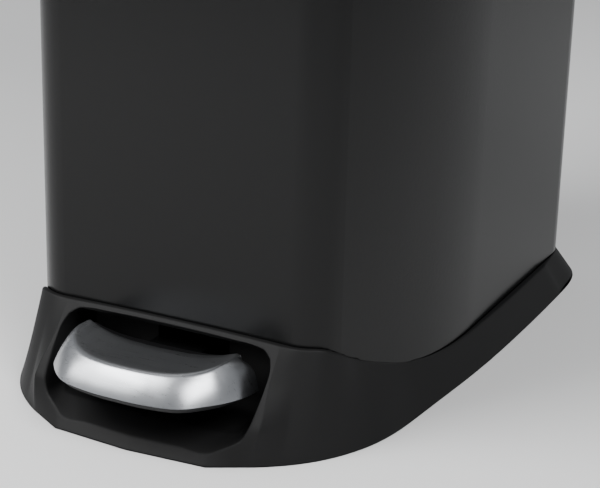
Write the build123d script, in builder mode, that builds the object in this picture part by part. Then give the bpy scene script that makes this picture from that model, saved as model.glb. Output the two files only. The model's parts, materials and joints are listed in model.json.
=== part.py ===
from build123d import *
import math
import os

os.makedirs("parts", exist_ok=True)

# Slim pedal bin. Millimetres, +Z up, front towards -Y, mirror plane X = 0.
# The origin is on the floor under the middle of the whole bin, pedal included.

# ---- driving dimensions -------------------------------------------------------------------
BASE_DEPTH = 420.0          # lip to rear skirt, on the floor
PEDAL_REACH = 11.4          # how far the pedal stands out in front of the lip
LIP = -(BASE_DEPTH - PEDAL_REACH) / 2      # y of the front lip

BODY_FRONT = LIP + 54.0     # steel body, front panel
BODY_REAR = LIP + 400.0
FRONT_FLAT = 75.0           # half width of the flat front panel
CORNER_R = 24.0             # front corner radius
CORNER_TURN = 72.0          # degrees turned by the front corner
SIDE_R = 470.0              # gentle bow of each side
REAR_R = 32.0
STEEL = 1.2                 # body sheet
BODY_TOP = 604.0

SEAM_FRONT = 59.5           # height of the base rim at the front
SEAM_SIDE = 21.5            # height of the base rim along the sides and the rear
LOFT_TOP = 60.0
LEAN = 38.2                 # lean of the base's front face, degrees from vertical
LIP_SET = 3.5               # the leaning face's foot behind the lip's crown
WALL = 3.0                  # moulded walls
FIT = 0.4                   # gap between a moulding and the sheet it holds

DECK_TOP = 62.0             # the platform that the bucket stands on
DECK_UNDER = DECK_TOP - WALL
PLATE_TOP = 6.5             # bottom plate

AXLE_Y = LIP + 190.0        # pedal lever pivot
AXLE_Z = 28.0
AXLE_R = 3.0
RUN = 0.05                  # radial running clearance of a pin in its hole

HINGE_Y = LIP + 385.0       # lid hinge
HINGE_Z = 606.0
HINGE_R = 3.0
YOKE_REACH = 14.0           # hinge axis to yoke pin
YOKE_DROP = 35.0            # degrees below level with the lid shut
YOKE_PIN_R = 2.5
BARREL_R = 28.0             # hinge cover, round the hinge axis
YOKE_Y = HINGE_Y - YOKE_REACH * math.cos(math.radians(YOKE_DROP))
YOKE_Z = HINGE_Z - YOKE_REACH * math.sin(math.radians(YOKE_DROP))
ROD_Y = YOKE_Y              # push rod, in the space behind the bucket
ROD_R = 3.0
LEVER_PIN_Z = 24.0

COLLAR_TOP = 612.0
LID_BOTTOM = COLLAR_TOP + 1.5
LID_TOP = 640.0
LID_REAR = HINGE_Y - BARREL_R - 3.0
BUCKET_REAR = LIP + 351.0
BUCKET_TOP = 594.0


def save(part, name):
    """Labels one finished piece and writes it."""
    part.label = name
    export_step(part, "parts/" + name + ".step")


# ---- outlines -----------------------------------------------------------------------------
def body_face(grow=0.0, rear=None):
    """Plan outline of the steel body, grown outwards, and cut off behind y = rear."""
    with BuildSketch(mode=Mode.PRIVATE) as sketch:
        with BuildLine():
            front = Line((0, BODY_FRONT), (FRONT_FLAT, BODY_FRONT))
            corner = JernArc(front @ 1, front % 1, CORNER_R, CORNER_TURN)
            side = JernArc(corner @ 1, corner % 1, SIDE_R, 90 - CORNER_TURN)
            straight = Line(side @ 1, ((side @ 1).X, BODY_REAR - REAR_R))
            turn = JernArc(straight @ 1, straight % 1, REAR_R, 90)
            Line(turn @ 1, (0, BODY_REAR))
            mirror(about=Plane.YZ)
        make_face()
        if grow:
            offset(amount=grow, kind=Kind.INTERSECTION)
        if rear is not None:
            with Locations((0, rear + 200)):
                Rectangle(400, 400, mode=Mode.SUBTRACT)
    return sketch.sketch


def base_face(front_y, kink_y, mould, side, corner, rear_y, grow):
    """Plan outline of the base: lip, cut corner, swept side, rear corner, rear edge."""
    slant = 0.7 * grow
    with BuildSketch(mode=Mode.PRIVATE) as sketch:
        with BuildLine():
            lip = Line((0, front_y - grow), (49.5 + 0.3 * grow, kink_y - grow))
            cut = Line(lip @ 1, (mould[0] + slant, mould[1] - slant))
            sweep_line = Spline(cut @ 1, *[(x + grow, y) for x, y in side])
            bend = Spline(sweep_line @ 1, (corner[0] + slant, corner[1] + slant),
                          (88, rear_y + grow), tangents=[sweep_line % 1, (-1, 0)])
            Line(bend @ 1, (0, rear_y + grow))
            mirror(about=Plane.YZ)
        make_face()
    return sketch.sketch


def floor_face(grow=0.0):
    """The base where it stands on the floor."""
    side = [(85.3, LIP + 26), (98.5, LIP + 39), (110, LIP + 56), (119.5, LIP + 79),
            (126.4, LIP + 128), (131.5, LIP + 190), (134.2, LIP + 265), (134, LIP + 350)]
    return base_face(LIP, LIP + LIP_SET, (72.7, LIP + 16.8), side, (123, LIP + 403),
                     LIP + BASE_DEPTH, grow)


def rim_face(grow=0.0):
    """The base's slopes carried up to LOFT_TOP; the sides are cut off lower down."""
    front = LIP + LIP_SET + LOFT_TOP * math.tan(math.radians(LEAN))
    side = [(84, LIP + 52.5), (93.5, LIP + 58.5), (98.3, LIP + 70), (98.2, LIP + 92),
            (98.5, LIP + 128), (104.6, LIP + 190), (107.2, LIP + 260), (107, LIP + 325)]
    return base_face(front, front, (70, front), side, (100, LIP + 358), LIP + 374, grow)


def above_rim(drop_front, drop_side):
    """Side view of everything above the rim line, the line lowered by the given drops."""
    with BuildSketch(mode=Mode.PRIVATE) as sketch:
        with BuildLine():
            front = Line((LIP - 30, SEAM_FRONT - drop_front),
                         (LIP + 56, SEAM_FRONT - drop_front))
            fall = Spline(front @ 1, (LIP + 77, 49.5 - drop_side), (LIP + 95, 41 - drop_side),
                          (LIP + 120, 31.5 - drop_side), (LIP + 145, 25.8 - drop_side),
                          (LIP + 175, 22.4 - drop_side), (LIP + 205, SEAM_SIDE - drop_side))
            Polyline(fall @ 1, (LIP + 460, SEAM_SIDE - drop_side), (LIP + 460, 90),
                     (LIP - 30, 90), front @ 0)
        make_face()
    return sketch.sketch


def box_at(low, high):
    """A box between two corners."""
    size = [b - a for a, b in zip(low, high)]
    return Pos(*low) * Box(*size, align=(Align.MIN, Align.MIN, Align.MIN), mode=Mode.PRIVATE)


def rod_along_x(y, z, radius, x0, x1):
    """A round bar along X."""
    bar = Cylinder(radius, x1 - x0, align=(Align.CENTER, Align.CENTER, Align.MIN),
                   mode=Mode.PRIVATE)
    return Pos(x0, y, z) * Rot(0, 90, 0) * bar


# ---- base housing -------------------------------------------------------------------------
FACET = Plane(origin=(0, LIP + LIP_SET, 0), x_dir=(1, 0, 0),
              z_dir=(0, -math.cos(math.radians(LEAN)), math.sin(math.radians(LEAN))))
SCOOP_DEPTH = 7.6           # the apron's inner edge, behind the leaning face
RECESS_BACK = LIP + 76.0
BOSS_POINTS = [(x, LIP + y) for x, y in ((80, 105), (92, 230), (78, 378))]
BOSS_POINTS += [(-x, y) for x, y in BOSS_POINTS]


def opening_face(bottom, low, waist):
    """Foot opening on the leaning face: bottom edge, lower corner, side, round top."""
    with BuildSketch(mode=Mode.PRIVATE) as sketch:
        with BuildLine():
            bottom_line = Line((0, bottom), (low, bottom))
            lower = Spline(bottom_line @ 1, waist, (69, 50), tangents=[(1, 0.2), (0, 1)])
            side = Line(lower @ 1, (68.6, 60))
            top = Spline(side @ 1, (65.3, 68.8), (54, 72.6), tangents=[(0, 1), (-1, 0)])
            Line(top @ 1, (0, 73.4))
            mirror(about=Plane.YZ)
        make_face()
    return sketch.sketch


with BuildPart() as groove:              # room for the steel body's lower edge
    with BuildSketch():
        add(body_face(FIT))
        add(body_face(-STEEL - FIT), mode=Mode.SUBTRACT)
    extrude(amount=90)
    with BuildSketch(Plane.YZ):
        add(above_rim(1.3, 9))
    extrude(amount=200, both=True, mode=Mode.INTERSECT)

with BuildPart() as skirt_room:          # hollow between the skirt and the platform
    with BuildSketch():
        add(floor_face(-WALL))
    with BuildSketch(Plane.XY.offset(LOFT_TOP)):
        add(rim_face(-WALL))
    loft(ruled=True)
    with BuildSketch(Plane.YZ):
        add(above_rim(4, 12))
    extrude(amount=200, both=True, mode=Mode.SUBTRACT)
    with BuildSketch():
        add(body_face(-STEEL - FIT))
    extrude(amount=90, mode=Mode.SUBTRACT)
    add(box_at((-73, LIP - 20, -1), (73, RECESS_BACK + WALL, 70)), mode=Mode.SUBTRACT)

with BuildPart() as platform_room:       # mechanism space under the deck
    with BuildSketch():
        add(body_face(-STEEL - FIT - 2.5))
    extrude(amount=DECK_UNDER)
    add(box_at((-73, LIP - 20, -1), (73, RECESS_BACK + WALL, 70)), mode=Mode.SUBTRACT)

with BuildPart() as scoop:               # apron in front of the pedal, and the foot recess
    with BuildSketch(FACET.offset(1.0)):
        add(opening_face(7.6, 49, (66, 19)))
    with BuildSketch(FACET.offset(-SCOOP_DEPTH)):
        add(opening_face(21.9, 54, (64, 28)))
    loft(ruled=True)
    with BuildSketch(FACET.offset(1.0)):
        add(opening_face(7.6, 49, (66, 19)))
    extrude(amount=4)
    with BuildSketch(FACET.offset(-SCOOP_DEPTH)):
        add(opening_face(21.9, 54, (64, 28)))
    extrude(amount=60, dir=(0, 1, 0))
    add(box_at((-80, RECESS_BACK, 0), (80, RECESS_BACK + 60, 90)), mode=Mode.SUBTRACT)

with BuildPart() as base_housing:
    with BuildSketch():
        add(floor_face())
    with BuildSketch(Plane.XY.offset(LOFT_TOP)):
        add(rim_face())
    loft(ruled=True)
    with BuildSketch(Plane.YZ):
        add(above_rim(0, 0))
    extrude(amount=200, both=True, mode=Mode.SUBTRACT)
    with BuildSketch(Plane.XY.offset(PLATE_TOP)):
        add(body_face(-STEEL - FIT))
    extrude(amount=DECK_TOP - PLATE_TOP)
    with BuildSketch():
        add(floor_face(-8.5))
        with Locations((0, LIP)):
            Rectangle(148, 2 * (RECESS_BACK - LIP + WALL), mode=Mode.SUBTRACT)
    extrude(amount=PLATE_TOP, mode=Mode.SUBTRACT)
    add(box_at((-58, LIP + 30, -1), (58, RECESS_BACK - 3, 9.5)), mode=Mode.SUBTRACT)
    add(groove.part, mode=Mode.SUBTRACT)
    add(skirt_room.part, mode=Mode.SUBTRACT)
    add(platform_room.part, mode=Mode.SUBTRACT)
    add(scoop.part, mode=Mode.SUBTRACT)
    add(box_at((-24, RECESS_BACK - 1, 12), (24, RECESS_BACK + 10, 52)), mode=Mode.SUBTRACT)
    with BuildSketch(Plane.XY.offset(PLATE_TOP)):
        with Locations(BOSS_POINTS):
            Circle(5)
            Circle(1.6, mode=Mode.SUBTRACT)
    extrude(amount=DECK_UNDER - PLATE_TOP)
    with Locations((0, ROD_Y, DECK_UNDER)):
        Cylinder(7, 10, mode=Mode.SUBTRACT)

# ---- bottom plate, feet, screws -----------------------------------------------------------
FOOT_POINTS = [(x, LIP + y) for x, y in ((92, 150), (100, 366))]
FOOT_POINTS += [(-x, y) for x, y in FOOT_POINTS]

with BuildPart() as bottom_plate:
    with BuildSketch(Plane.XY.offset(PLATE_TOP - 2.5)):
        add(floor_face(-9))
        with Locations((0, LIP)):
            Rectangle(150, 2 * (RECESS_BACK - LIP + WALL + 1), mode=Mode.SUBTRACT)
    extrude(amount=2.5)
    with Locations([(x, y, PLATE_TOP) for x, y in BOSS_POINTS]):
        Hole(1.9)
    with Locations([(x, y, PLATE_TOP) for x, y in FOOT_POINTS]):
        Hole(3.0)

with BuildPart() as rubber_feet:
    with Locations([(x, y, 0.0) for x, y in FOOT_POINTS]):
        Cylinder(8, PLATE_TOP - 2.5, align=(Align.CENTER, Align.CENTER, Align.MIN))
        Cylinder(3.0, PLATE_TOP, align=(Align.CENTER, Align.CENTER, Align.MIN))

with BuildPart() as base_screws:
    with Locations([(x, y, PLATE_TOP - 4.3) for x, y in BOSS_POINTS]):
        Cylinder(3.6, 1.8, align=(Align.CENTER, Align.CENTER, Align.MIN))
        Cylinder(1.6, 16, align=(Align.CENTER, Align.CENTER, Align.MIN))

# ---- steel body ---------------------------------------------------------------------------
with BuildPart() as outer_shell:
    with BuildSketch():
        add(body_face())
        add(body_face(-STEEL), mode=Mode.SUBTRACT)
    extrude(amount=BODY_TOP)
    with BuildSketch(Plane.YZ):
        add(above_rim(1.0, 8.6))
    extrude(amount=200, both=True, mode=Mode.INTERSECT)
    with BuildSketch(Plane.XY.offset(80)):
        add(body_face())
        add(body_face(-STEEL), mode=Mode.SUBTRACT)
    extrude(amount=BODY_TOP - 80)

# ---- pedal --------------------------------------------------------------------------------
PEDAL_HALF = 61.0
PEDAL_BOTTOM = 30.5         # underside of the plastic block
PEDAL_HEM = 36.5            # lower edge of the steel skin
PEDAL_DIP = 50.0            # top of the dish in the middle
PEDAL_TIP = 55.0            # top of the raised ends
PEDAL_BACK = LIP + 44.0


def pedal_face(nose_y, points, half, inset):
    """Plan outline of the pedal at one height: bowed front, short straight ends, flat back."""
    with BuildSketch(mode=Mode.PRIVATE) as sketch:
        with BuildLine():
            nose = Line((0, nose_y + inset), (8, nose_y + inset))
            bow = Spline(nose @ 1, *[(x - 0.6 * inset, y + 0.7 * inset) for x, y in points],
                         (half - inset, LIP + 28), tangents=[(1, 0), (0, 1)])
            Polyline(bow @ 1, (half - inset, PEDAL_BACK - inset), (0, PEDAL_BACK - inset))
            mirror(about=Plane.YZ)
        make_face()
    return sketch.sketch


def pedal_blank(inset):
    """The pedal's outer form, shrunk by inset: a leaning bowed face over a tucked-in chin."""
    hem = [(26, LIP - 9.4), (40, LIP - 4.8), (50, LIP + 4.6), (57, LIP + 14.2)]
    fold = [(16.4, LIP + 3.4), (28.5, LIP + 6.6), (38, LIP + 11.8), (45.6, LIP + 19)]
    chin = [(26, LIP - 4.6), (38, LIP - 0.4), (47, LIP + 8), (53.5, LIP + 17)]
    with BuildPart(mode=Mode.PRIVATE) as blank:
        with BuildSketch(Plane.XY.offset(PEDAL_HEM)):
            add(pedal_face(LIP - PEDAL_REACH, hem, PEDAL_HALF, inset))
        with BuildSketch(Plane.XY.offset(PEDAL_TIP)):
            add(pedal_face(LIP + 2.4, fold, 50, inset))
        loft(ruled=True)
        with BuildSketch(Plane.XY.offset(PEDAL_BOTTOM + inset)):
            add(pedal_face(LIP - PEDAL_REACH + 5, chin, PEDAL_HALF - 4, inset))
        with BuildSketch(Plane.XY.offset(PEDAL_HEM)):
            add(pedal_face(LIP - PEDAL_REACH, hem, PEDAL_HALF, inset))
        loft(ruled=True)
        with BuildSketch(Plane.XZ):
            with BuildLine():
                dish = Spline((0, PEDAL_DIP - inset), (20, 50.6 - inset), (31, 51.6 - inset),
                              (40, 53.2 - inset), (47, PEDAL_TIP - inset), (60, 60 - inset),
                              tangents=[(1, 0), (1, 0.5)])
                Polyline(dish @ 1, (70, 60), (70, 20), (0, 20))
                mirror(about=Plane.YZ)
            make_face()
        extrude(amount=400, both=True, mode=Mode.INTERSECT)
    return blank.part


with BuildPart() as pedal_cover:         # stamped stainless skin
    add(pedal_blank(0))
    add(pedal_blank(1.2), mode=Mode.SUBTRACT)
    add(box_at((-70, LIP - 30, 0), (70, PEDAL_BACK + 5, PEDAL_HEM)), mode=Mode.SUBTRACT)
    add(box_at((-52, LIP + 30, 0), (52, PEDAL_BACK + 5, 46)), mode=Mode.SUBTRACT)

PEDAL_SCREWS = [(x, LIP + y) for x in (-9, 9) for y in (20, 34)]

with BuildPart() as pedal_core:          # plastic block that carries the skin
    add(pedal_blank(1.3))
    add(box_at((-17.5, LIP + 9.5, 20), (17.5, PEDAL_BACK + 20, 44.1)), mode=Mode.SUBTRACT)
    with Locations([(x, y, 44.1) for x, y in PEDAL_SCREWS]):
        Cylinder(1.8, 6, mode=Mode.SUBTRACT)

# ---- pedal lever --------------------------------------------------------------------------
LEVER_HALF = 17.0
LEVER_T = 2.0


def lever_face(inset):
    """Side view of the lever: raised at the pedal, low under the deck."""
    top = [(LIP + 10, 44), (LIP + 70, 42), (LIP + 125, 35), (LIP + 200, 35), (LIP + 388, 31)]
    low = [(LIP + 388, 17), (LIP + 200, 20), (LIP + 125, 20), (LIP + 70, 29), (LIP + 10, 33)]
    with BuildSketch(mode=Mode.PRIVATE) as sketch:
        with BuildLine():
            Polyline(*[(y, z - inset) for y, z in top], *[(y, z - 3 * inset) for y, z in low],
                     close=True)
        make_face()
    return sketch.sketch


with BuildPart() as pedal_lever:         # pressed channel, open below
    with BuildSketch(Plane.YZ):
        add(lever_face(0))
    extrude(amount=LEVER_HALF, both=True)
    with BuildSketch(Plane.YZ):
        add(lever_face(LEVER_T))
    extrude(amount=LEVER_HALF - LEVER_T, both=True, mode=Mode.SUBTRACT)
    add(box_at((-9, ROD_Y - 16, 10), (9, ROD_Y + 30, 60)), mode=Mode.SUBTRACT)
    add(rod_along_x(AXLE_Y, AXLE_Z, 5.0, -30, 30), mode=Mode.SUBTRACT)
    add(rod_along_x(ROD_Y, LEVER_PIN_Z, 2.5, -30, 30), mode=Mode.SUBTRACT)
    with Locations([(x, y, 42) for x, y in PEDAL_SCREWS]):
        Cylinder(2.0, 8, mode=Mode.SUBTRACT)

with BuildPart() as lever_bushes:        # flanged bushes that turn on the axle
    for side in (-1, 1):
        inner = side * (LEVER_HALF - LEVER_T)
        outer = side * LEVER_HALF
        add(rod_along_x(AXLE_Y, AXLE_Z, 5.0, min(inner, outer), max(inner, outer)))
        flange = side * (LEVER_HALF + 1.5)
        add(rod_along_x(AXLE_Y, AXLE_Z, 7.0, min(outer, flange), max(outer, flange)))
    add(rod_along_x(AXLE_Y, AXLE_Z, AXLE_R + RUN, -30, 30), mode=Mode.SUBTRACT)

with BuildPart() as lever_axle:
    add(rod_along_x(AXLE_Y, AXLE_Z, AXLE_R, -31, 31))

with BuildPart() as axle_clips:
    for side in (-1, 1):
        add(rod_along_x(AXLE_Y, AXLE_Z, 5.5, min(side * 26.2, side * 27.4),
                        max(side * 26.2, side * 27.4)))
    add(rod_along_x(AXLE_Y, AXLE_Z, AXLE_R, -40, 40), mode=Mode.SUBTRACT)


def axle_bracket(side):
    """Upright that hangs from the deck and holds one end of the axle."""
    with BuildPart() as bracket:
        with BuildSketch(Plane.YZ.offset(side * 21.0)):
            with BuildLine():
                Polyline((AXLE_Y - 15, DECK_UNDER), (AXLE_Y - 8, AXLE_Z), (AXLE_Y - 8, 19),
                         (AXLE_Y + 8, 19), (AXLE_Y + 8, AXLE_Z), (AXLE_Y + 15, DECK_UNDER),
                         close=True)
            make_face()
            with Locations((AXLE_Y, AXLE_Z)):
                Circle(AXLE_R + RUN, mode=Mode.SUBTRACT)
        extrude(amount=side * 5)
        near, far = sorted((side * 26, side * 40))
        add(box_at((near, AXLE_Y - 15, DECK_UNDER - 3), (far, AXLE_Y + 15, DECK_UNDER)))
    return bracket.part


axle_bracket_left = axle_bracket(-1)
axle_bracket_right = axle_bracket(1)

with BuildPart() as bracket_screws:
    with Locations([(side * 33, AXLE_Y + dy, DECK_UNDER - 5) for side in (-1, 1)
                    for dy in (-9, 9)]):
        Cylinder(3.2, 2, align=(Align.CENTER, Align.CENTER, Align.MIN))

with BuildPart() as lever_pin:
    add(rod_along_x(ROD_Y, LEVER_PIN_Z, 2.5, -20, 20))

with BuildPart() as pedal_screws:
    with Locations([(x, y, 41.0) for x, y in PEDAL_SCREWS]):
        Cylinder(1.8, 6, align=(Align.CENTER, Align.CENTER, Align.MIN))
        Cylinder(3.4, 1.8, align=(Align.CENTER, Align.CENTER, Align.MAX))

# ---- push rod -----------------------------------------------------------------------------
FOOT_TOP = 36.0
YOKE_LOW = YOKE_Z - 14.0

with BuildPart() as rod_foot:            # slotted foot round the lever pin
    add(box_at((-6, ROD_Y - 8, 15), (6, ROD_Y + 8, FOOT_TOP)))
    with BuildSketch(Plane.YZ.offset(-10)):
        with Locations((ROD_Y - 0.4, LEVER_PIN_Z)):
            SlotOverall(8.6, 5.4)
    extrude(amount=20, mode=Mode.SUBTRACT)

with BuildPart() as push_rod:
    with Locations((0, ROD_Y, FOOT_TOP)):
        Cylinder(ROD_R, YOKE_LOW - FOOT_TOP, align=(Align.CENTER, Align.CENTER, Align.MIN))

with BuildPart() as rod_yoke:            # slotted head round the lid's yoke pin
    slot_y = HINGE_Y - YOKE_REACH * (1 + math.cos(math.radians(YOKE_DROP))) / 2
    slot_len = YOKE_REACH * (1 - math.cos(math.radians(YOKE_DROP))) + 2 * YOKE_PIN_R + 1.6
    with BuildSketch(Plane.YZ.offset(-2.5)):
        with BuildLine():
            Polyline((slot_y - 7, YOKE_LOW), (slot_y + 7.5, YOKE_LOW), (slot_y + 7.5, YOKE_Z + 3),
                     (slot_y + 4, YOKE_Z + 5.8), (slot_y - 4, YOKE_Z + 5.8),
                     (slot_y - 7, YOKE_Z + 3), close=True)
        make_face()
        with Locations((slot_y, YOKE_Z)):
            SlotOverall(slot_len, 2 * YOKE_PIN_R + 1.4, mode=Mode.SUBTRACT)
    extrude(amount=5)


def rod_guide(z):
    """Moulded block on the rear wall that keeps the push rod upright."""
    with BuildPart() as guide:
        add(box_at((-11, ROD_Y - 8, z), (11, BODY_REAR - STEEL - 0.1, z + 10)))
        with Locations((0, ROD_Y, z + 5)):
            Cylinder(ROD_R + RUN, 30, mode=Mode.SUBTRACT)
    return guide.part


rod_guide_lower = rod_guide(150)
rod_guide_upper = rod_guide(500)

# ---- damper -------------------------------------------------------------------------------
DAMPER_X = 42.0
DAMPER_Y = ROD_Y + 8.0
DAMPER_Z = 330.0

with BuildPart() as damper_cylinder:
    with Locations((DAMPER_X, DAMPER_Y, DAMPER_Z)):
        Cylinder(8, 80, align=(Align.CENTER, Align.CENTER, Align.MIN))
    with Locations((DAMPER_X, DAMPER_Y, DAMPER_Z + 3)):
        Cylinder(6, 74, align=(Align.CENTER, Align.CENTER, Align.MIN), mode=Mode.SUBTRACT)
    with Locations((DAMPER_X, DAMPER_Y, DAMPER_Z - 1)):
        Cylinder(2.5 + RUN, 6, align=(Align.CENTER, Align.CENTER, Align.MIN), mode=Mode.SUBTRACT)

with BuildPart() as damper_bracket:      # saddle between the cylinder and the rear wall
    add(box_at((DAMPER_X - 14, DAMPER_Y - 3, DAMPER_Z + 20),
               (DAMPER_X + 14, BODY_REAR - STEEL - 0.1, DAMPER_Z + 60)))
    with Locations((DAMPER_X, DAMPER_Y, DAMPER_Z + 40)):
        Cylinder(8.05, 60, mode=Mode.SUBTRACT)

with BuildPart() as damper_rod:
    with Locations((DAMPER_X, DAMPER_Y, DAMPER_Z - 45)):
        Cylinder(2.5, 75, align=(Align.CENTER, Align.CENTER, Align.MIN))
    with Locations((DAMPER_X, DAMPER_Y, DAMPER_Z + 26)):
        Cylinder(5.9, 5, align=(Align.CENTER, Align.CENTER, Align.MIN))

with BuildPart() as damper_clamp:        # carries the damper rod on the push rod
    add(box_at((-8, ROD_Y - 7, DAMPER_Z - 45), (DAMPER_X + 6, ROD_Y + 13, DAMPER_Z - 35)))
    with Locations((0, ROD_Y, DAMPER_Z - 40)):
        Cylinder(ROD_R, 20, mode=Mode.SUBTRACT)
    with Locations((DAMPER_X, DAMPER_Y, DAMPER_Z - 40)):
        Cylinder(2.5, 20, mode=Mode.SUBTRACT)

# ---- bucket -------------------------------------------------------------------------------
with BuildPart() as inner_bucket:
    with BuildSketch(Plane.XY.offset(DECK_TOP)):
        add(body_face(-22, BUCKET_REAR - 9))
    with BuildSketch(Plane.XY.offset(BUCKET_TOP)):
        add(body_face(-14, BUCKET_REAR))
    loft(ruled=True)
    with BuildSketch(Plane.XY.offset(BUCKET_TOP - 3)):
        add(body_face(-11.5, BUCKET_REAR + 2.5))
    extrude(amount=3)
    with BuildSketch(Plane.XY.offset(DECK_TOP + 3)):
        add(body_face(-24.5, BUCKET_REAR - 11.5))
    with BuildSketch(Plane.XY.offset(BUCKET_TOP + 0.01)):
        add(body_face(-16.5, BUCKET_REAR - 2.5))
    loft(ruled=True, mode=Mode.SUBTRACT)

with BuildPart() as bag_ring:            # frame that holds the bag's edge down
    with BuildSketch(Plane.XY.offset(BUCKET_TOP)):
        add(body_face(-13, BUCKET_REAR + 1))
        add(body_face(-16.5, BUCKET_REAR - 2.5), mode=Mode.SUBTRACT)
    extrude(amount=3.5)

# ---- collar and hinge cover ---------------------------------------------------------------
BAY_FRONT = HINGE_Y - 24.0
BAY_REAR = BODY_REAR - STEEL - FIT - 3.0
BAY_HALF = 58.0
EAR_IN = 19.0
EAR_OUT = 23.0
ARM_IN = 13.5
ARM_OUT = 16.5

with BuildPart() as top_collar:
    with BuildSketch(Plane.XY.offset(BODY_TOP - 8)):
        add(body_face(1.6))
    extrude(amount=COLLAR_TOP - BODY_TOP + 8)
    with BuildSketch(Plane.XY.offset(BODY_TOP - 26)):
        add(body_face(-STEEL - FIT))
    extrude(amount=26)
    with BuildSketch(Plane.XY.offset(BODY_TOP - 30)):
        add(body_face(FIT))
        add(body_face(-STEEL - FIT), mode=Mode.SUBTRACT)
    extrude(amount=30.4, mode=Mode.SUBTRACT)
    with BuildSketch(Plane.XY.offset(BODY_TOP - 30)):
        add(body_face(-10, BAY_FRONT - 3))
    extrude(amount=60, mode=Mode.SUBTRACT)
    add(box_at((-BAY_HALF, BAY_FRONT, 500), (BAY_HALF, BAY_REAR, 700)), mode=Mode.SUBTRACT)
    for side in (-1, 1):
        near, far = sorted((side * EAR_IN, side * EAR_OUT))
        add(box_at((near, BAY_FRONT - 1, HINGE_Z - 14), (far, BAY_REAR + 1, COLLAR_TOP)))
        near, far = sorted((side * (ARM_IN - 1.5), side * (ARM_OUT + 1.5)))
        add(box_at((near, BAY_FRONT - 20, HINGE_Z - 9), (far, BAY_FRONT + 5, 700)),
            mode=Mode.SUBTRACT)
    add(rod_along_x(HINGE_Y, HINGE_Z, HINGE_R + RUN, -40, 40), mode=Mode.SUBTRACT)

with BuildPart() as hinge_pin:
    add(rod_along_x(HINGE_Y, HINGE_Z, HINGE_R, -26.5, 26.5))

with BuildPart() as hinge_pin_clips:
    for side in (-1, 1):
        near, far = sorted((side * 23.3, side * 24.5))
        add(rod_along_x(HINGE_Y, HINGE_Z, 5.5, near, far))
    add(rod_along_x(HINGE_Y, HINGE_Z, HINGE_R, -40, 40), mode=Mode.SUBTRACT)

with BuildPart() as rear_hinge_cover:
    with BuildSketch(Plane.YZ):
        with Locations((HINGE_Y, HINGE_Z)):
            Circle(BARREL_R)
            Circle(BARREL_R - 2.5, mode=Mode.SUBTRACT)
    extrude(amount=84, both=True)
    for side in (-1, 1):
        near, far = sorted((side * 81.5, side * 84))
        add(rod_along_x(HINGE_Y, HINGE_Z, BARREL_R, near, far))
    add(box_at((-90, HINGE_Y - 60, HINGE_Z - 60), (90, HINGE_Y + 60, COLLAR_TOP)),
        mode=Mode.SUBTRACT)
    add(box_at((-90, BODY_REAR - 0.4, HINGE_Z - 60), (90, HINGE_Y + 60, HINGE_Z + 60)),
        mode=Mode.SUBTRACT)
    add(box_at((-84, BODY_REAR - 2.9, COLLAR_TOP), (84, BODY_REAR - 0.4, HINGE_Z + 23)))
    for side in (-1, 1):
        near, far = sorted((side * (ARM_IN - 1.5), side * (ARM_OUT + 1.5)))
        add(box_at((near, HINGE_Y - 60, HINGE_Z), (far, HINGE_Y - 2, HINGE_Z + 60)),
            mode=Mode.SUBTRACT)

with BuildPart() as lid_bumpers:
    with Locations([(x, y, COLLAR_TOP) for x, y in ((-70, BODY_FRONT + 5), (70, BODY_FRONT + 5),
                                                    (-114, LIP + 290), (114, LIP + 290))]):
        Cylinder(2.8, 1.1, align=(Align.CENTER, Align.CENTER, Align.MIN))

# ---- lid ----------------------------------------------------------------------------------
SKIN = 1.0

with BuildPart() as lid_skin:
    with BuildSketch(Plane.XY.offset(LID_BOTTOM)):
        add(body_face(2.2, LID_REAR))
    extrude(amount=LID_TOP - LID_BOTTOM)
    fillet(edges().group_by(Axis.Z)[-1], 9)
    with BuildSketch(Plane.XY.offset(LID_BOTTOM)):
        add(body_face(2.2 - SKIN, LID_REAR - SKIN))
    extrude(amount=LID_TOP - LID_BOTTOM - SKIN - 8, mode=Mode.SUBTRACT)
    with BuildSketch(Plane.XY.offset(LID_TOP - SKIN - 8)):
        add(body_face(2.2 - SKIN - 8, LID_REAR - SKIN - 8))
    extrude(amount=8, mode=Mode.SUBTRACT)

with BuildPart() as lid_liner:
    with BuildSketch(Plane.XY.offset(LID_BOTTOM + 0.5)):
        add(body_face(2.2 - SKIN - 0.3, LID_REAR - SKIN - 0.3))
    extrude(amount=12)
    with BuildSketch(Plane.XY.offset(LID_BOTTOM + 0.4)):
        add(body_face(-2.2, LID_REAR - 5))
    extrude(amount=9.6, mode=Mode.SUBTRACT)
    for side in (-1, 1):
        near, far = sorted((side * (ARM_IN - 1), side * (ARM_OUT + 1)))
        add(box_at((near, LID_REAR - 12, LID_BOTTOM - 5), (far, LID_REAR + 5, LID_BOTTOM + 8)),
            mode=Mode.SUBTRACT)


def lid_arm_face():
    """Side view of one lid arm: eye, yoke lobe, bar under the lid, foot."""
    with BuildSketch(mode=Mode.PRIVATE) as sketch:
        with Locations((HINGE_Y, HINGE_Z)):
            Circle(8)
        with Locations((YOKE_Y, YOKE_Z)):
            Circle(5.5)
        with BuildLine():
            Polyline((HINGE_Y, HINGE_Z + 6.5), (HINGE_Y, HINGE_Z - 7), (YOKE_Y - 3, YOKE_Z - 4),
                     (LID_REAR - 6, HINGE_Z - 0.5), (LID_REAR - 8, HINGE_Z - 0.5),
                     (LID_REAR - 8, LID_BOTTOM + 9), (LID_REAR - 5.5, LID_BOTTOM + 9),
                     (LID_REAR - 5.5, HINGE_Z + 6.5), close=True)
        make_face()
    return sketch.sketch


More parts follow.
